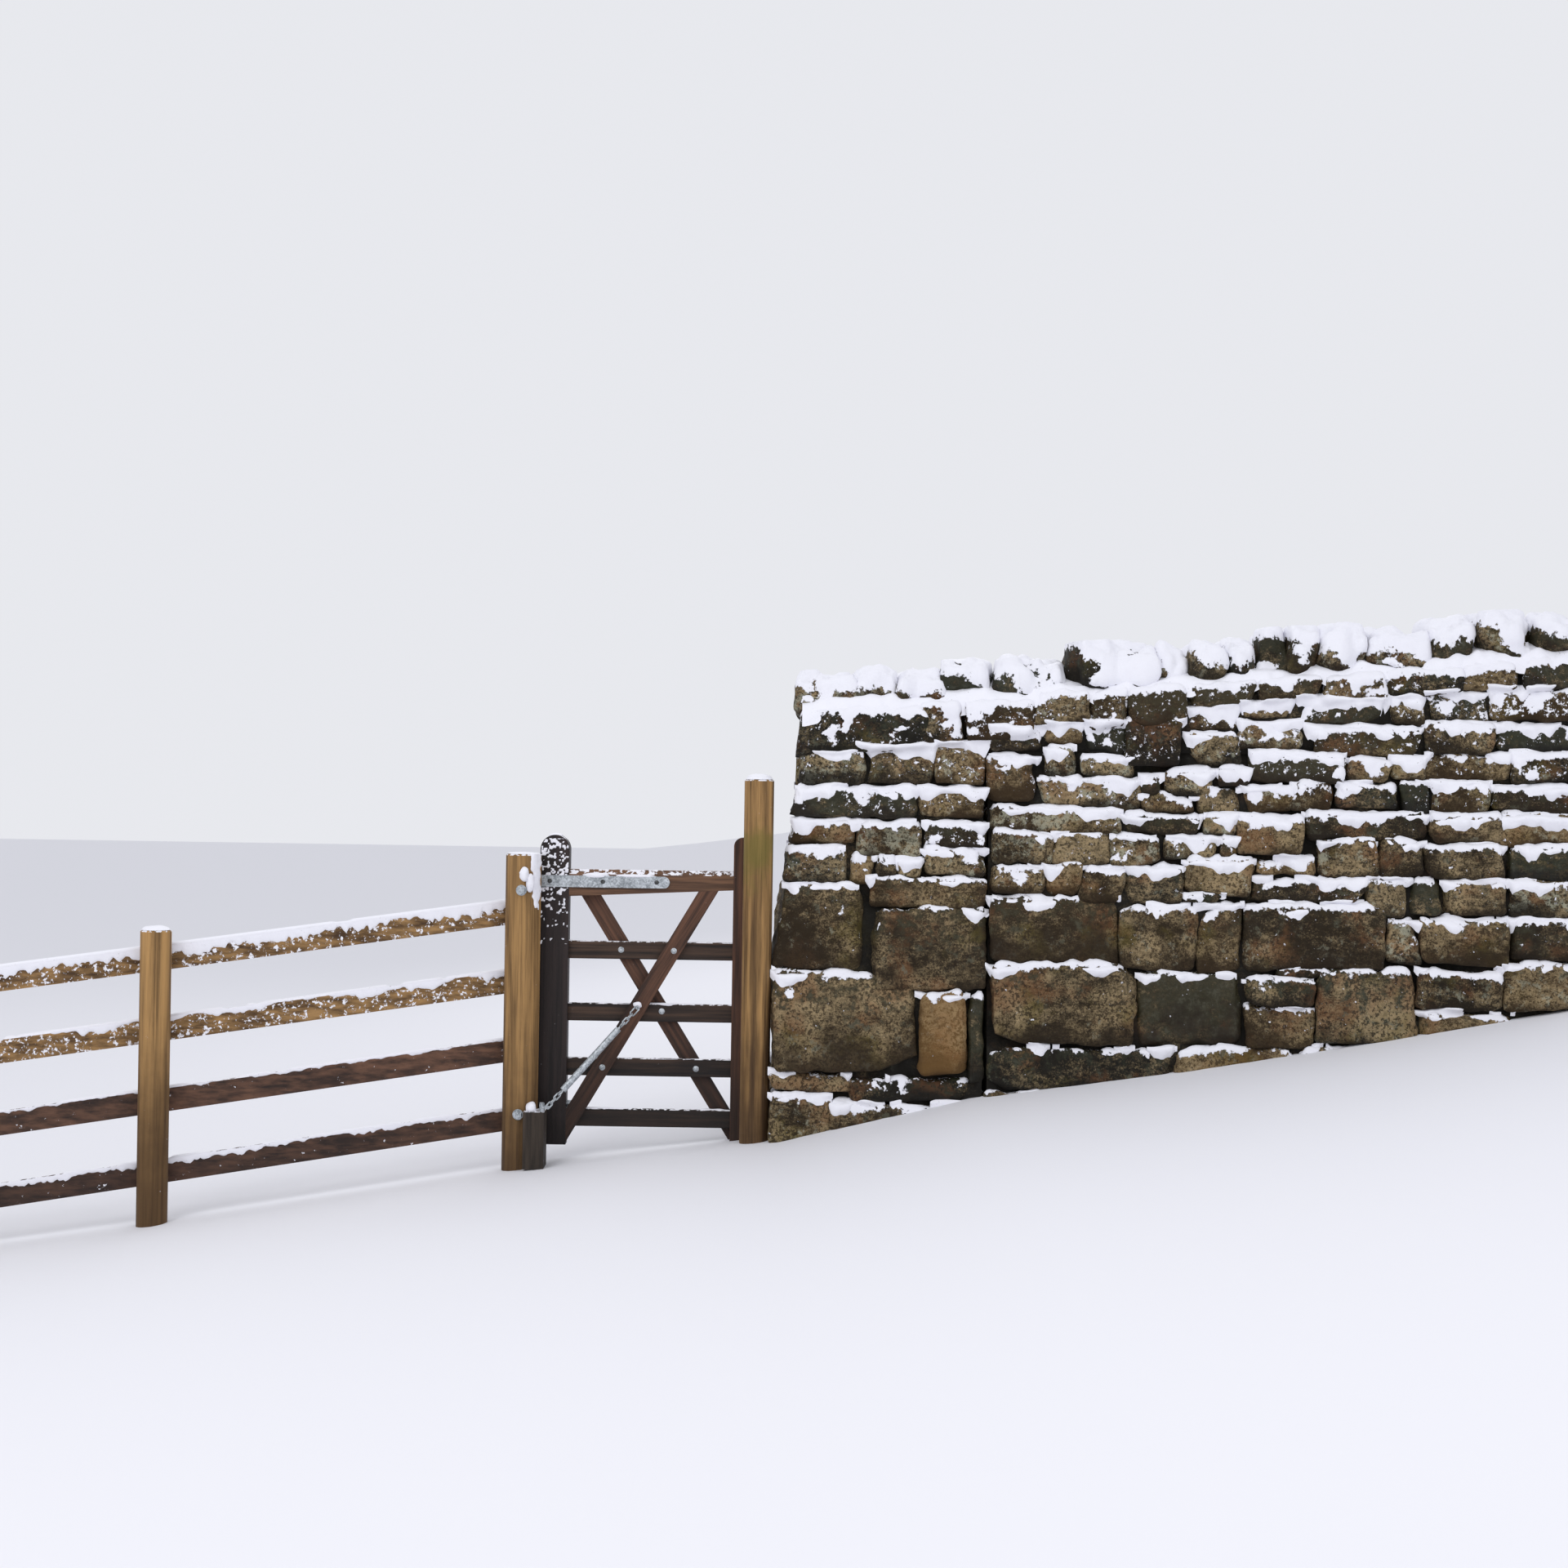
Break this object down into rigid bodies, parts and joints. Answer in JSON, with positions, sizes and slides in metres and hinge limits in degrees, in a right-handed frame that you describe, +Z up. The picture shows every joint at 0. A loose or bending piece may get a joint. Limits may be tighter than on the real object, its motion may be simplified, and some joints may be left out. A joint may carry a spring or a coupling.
{
  "type": "dry-stone wall end with hand gate and post-and-rail fence",
  "caption": "Battered dry-stone wall end with cope and cover stones, a self-closing timber hand gate hung between round posts, and a post-and-rail fence running on from it.",
  "frame": {"origin": "foot of the hanging post, level with the lowest ground under the fence", "axes": "+X along the wall away from the fence, +Y through the wall away from the path, +Z up"},
  "size_m": [7.5038, 1.4261, 2.8575],
  "materials": {
    "walling_stone": "weathered gritstone with lichen and snow",
    "cope_stone": "mossy gritstone under snow",
    "post_timber": "round treated pine, sawn tops",
    "gate_timber": "stained sawn timber, wet",
    "fence_timber": "sawn treated softwood",
    "block_timber": "dark wet timber",
    "galvanised_steel": "dull galvanised steel"
  },
  "bodies": {
    "wall_and_posts": {"hanging_post": "post_timber", "shutting_post": "post_timber", "top_hook": "galvanised_steel", "lower_hook": "galvanised_steel", "closer_block": "block_timber", "closer_pin": "galvanised_steel", "fence_post_1": "post_timber", "fence_post_2": "post_timber", "fence_rail_top": "fence_timber", "fence_rail_upper": "fence_timber", "fence_rail_lower": "fence_timber", "fence_rail_bottom": "fence_timber", "wall_footing": "walling_stone", "boulders_head": "walling_stone", "boulders_run": "walling_stone", "walling_head": "walling_stone", "walling_run": "walling_stone", "cover_stones": "cope_stone", "cope_head": "cope_stone", "cope_run": "cope_stone"},
    "gate": {"heel_stile": "gate_timber", "shutting_stile": "gate_timber", "top_rail": "gate_timber", "second_rail": "gate_timber", "middle_rail": "gate_timber", "fourth_rail": "gate_timber", "bottom_rail": "gate_timber", "front_brace": "gate_timber", "back_brace": "gate_timber", "top_strap": "galvanised_steel", "lower_eye_bolt": "galvanised_steel", "closer_peg": "galvanised_steel"},
    "closer_swivel": {"closer_swivel": "galvanised_steel"},
    "closer_tube": {"closer_lower_chain": "galvanised_steel", "closer_tube": "galvanised_steel"},
    "closer_rod": {"closer_rod": "galvanised_steel", "closer_upper_chain": "galvanised_steel"}
  },
  "joints": [
    {"name": "gate_swing", "type": "hinge", "parent": "wall_and_posts", "child": "gate", "pos_m": [0, 0.11, 0.6], "axis": [0, 0, 1], "range_deg": [0, 90], "stiffness_Nm_per_rad": 8},
    {"name": "closer_turn", "type": "hinge", "parent": "wall_and_posts", "child": "closer_swivel", "pos_m": [0.102, -0.088, 0.65904], "axis": [0, 0, 1], "range_deg": [0, 73.97]},
    {"name": "closer_dip", "type": "hinge", "parent": "closer_swivel", "child": "closer_tube", "pos_m": [0.12463, -0.08, 0.65904], "axis": [-0.3334, 0.9428, 0], "range_deg": [0, 15.18]},
    {"name": "closer_draw", "type": "slide", "parent": "closer_tube", "child": "closer_rod", "axis": [0.6462, 0.2285, 0.7282], "range_m": [0, 0.22251]}
  ],
  "couplings": [
    {"joint": "closer_turn", "follows": "gate_swing", "ratio": 0.81801},
    {"joint": "closer_dip", "follows": "gate_swing", "ratio": 0.1676},
    {"joint": "closer_draw", "follows": "gate_swing", "m_per_rad": 0.14133}
  ]
}
